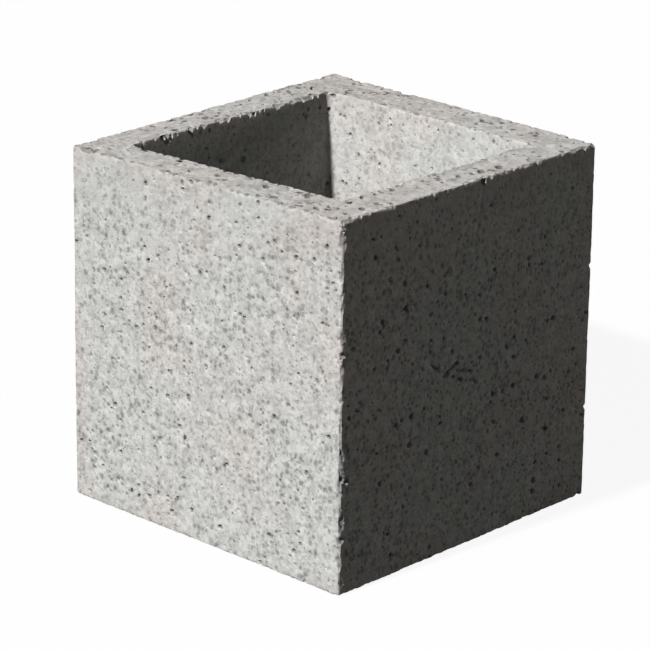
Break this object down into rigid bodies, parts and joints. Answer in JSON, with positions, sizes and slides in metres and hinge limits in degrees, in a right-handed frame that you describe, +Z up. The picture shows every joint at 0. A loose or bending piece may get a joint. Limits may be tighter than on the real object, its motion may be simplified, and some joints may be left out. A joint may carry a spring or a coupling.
{
  "type": "hollow concrete block",
  "caption": "Square hollow concrete block with a single open cell from bed to bed, laid in mortar or stacked and filled as a pier or half block.",
  "frame": {"origin": "middle of the bottom bed, on the surface that the block stands on", "axes": "+Z up through the open cell, -Y the front face, +X to the right of the front face"},
  "size_m": [0.195, 0.195, 0.2],
  "materials": {
    "concrete": "matte"
  },
  "bodies": {
    "root": {"concrete_block": "concrete"}
  },
  "joints": []
}
